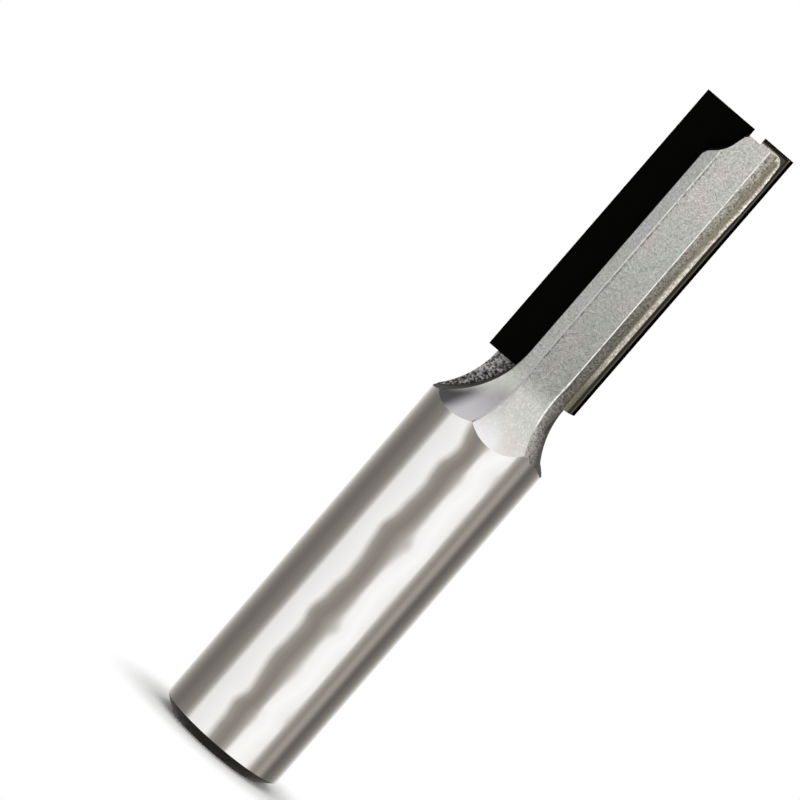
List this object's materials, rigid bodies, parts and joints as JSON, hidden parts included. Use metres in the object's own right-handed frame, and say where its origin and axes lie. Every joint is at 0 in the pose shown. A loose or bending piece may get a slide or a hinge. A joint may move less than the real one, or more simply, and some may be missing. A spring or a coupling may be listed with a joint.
{
  "type": "router bit",
  "caption": "Straight plunging router bit: carbide tips brazed to a fluted steel head on a plain round shank.",
  "frame": {"origin": "centre of the flat end of the shank", "axes": "+Z along the bit's axis to the cutting end, -X to the long tip's cutting edge, -Y out of its cutting face"},
  "size_m": [0.0126, 0.0126, 0.0735],
  "materials": {
    "steel": "ground and polished shank, satin milled head",
    "carbide": "diamond-ground, near mirror",
    "braze": "silver solder as it set, rough and slightly stained"
  },
  "bodies": {
    "root": {"body": "steel", "tip_1": "carbide", "tip_2": "carbide", "braze_1": "braze", "braze_2": "braze"}
  },
  "joints": []
}
